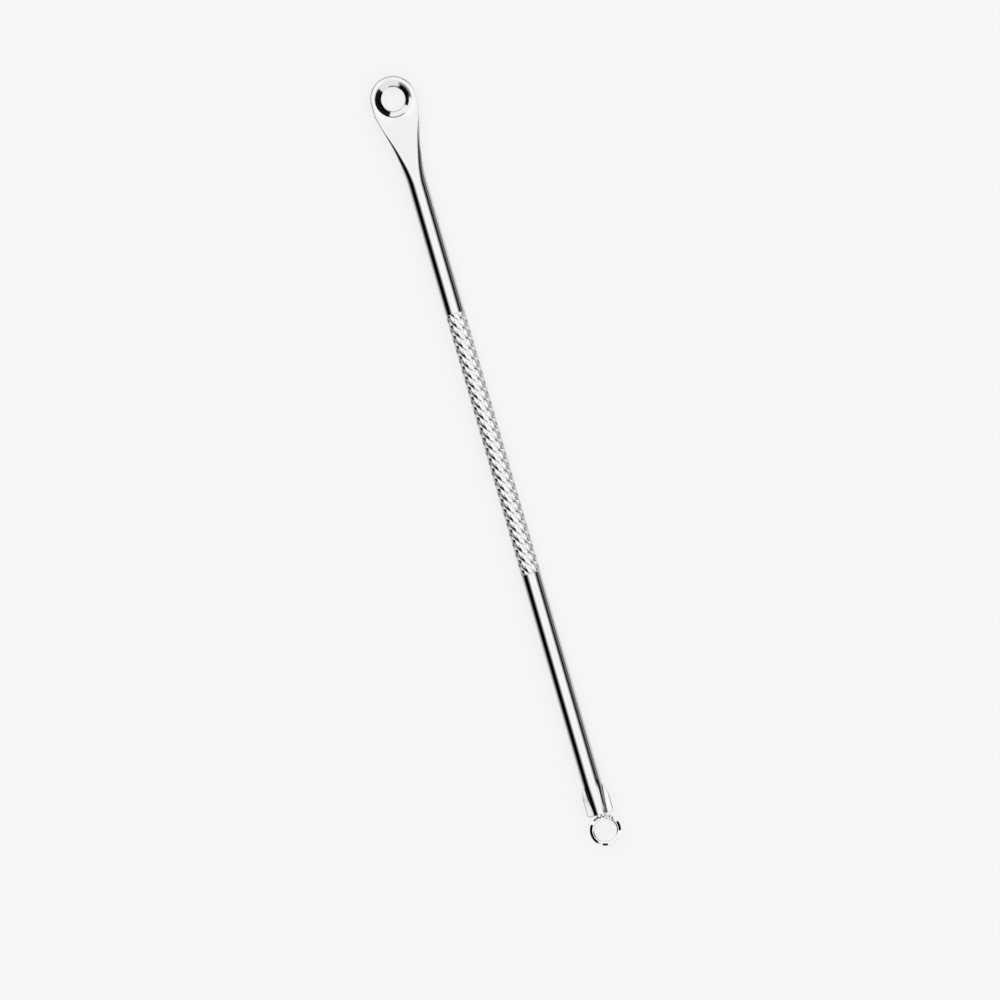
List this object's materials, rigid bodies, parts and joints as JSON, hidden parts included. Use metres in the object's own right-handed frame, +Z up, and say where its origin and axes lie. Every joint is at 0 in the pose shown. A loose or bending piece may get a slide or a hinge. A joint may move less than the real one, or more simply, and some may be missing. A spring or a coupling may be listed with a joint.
{
  "type": "blackhead extractor",
  "caption": "Double-ended comedone extractor: knurled steel grip between two polished rods, a pierced and dished spoon at one end, a round wire loop crimped into the other.",
  "frame": {"origin": "under the middle of the tool's overall box, on the surface it lies on", "axes": "+X along the tool towards the pierced spoon, +Z up out of the spoon's dished face, +Y across the tool"},
  "size_m": [0.12, 0.0068, 0.0031],
  "materials": {
    "knurled_steel": "polished",
    "polished_steel": "polished",
    "spring_wire": "polished"
  },
  "bodies": {
    "root": {"knurled_grip": "knurled_steel", "spoon_shank": "polished_steel", "loop_shank": "polished_steel", "wire_loop": "spring_wire"}
  },
  "joints": []
}
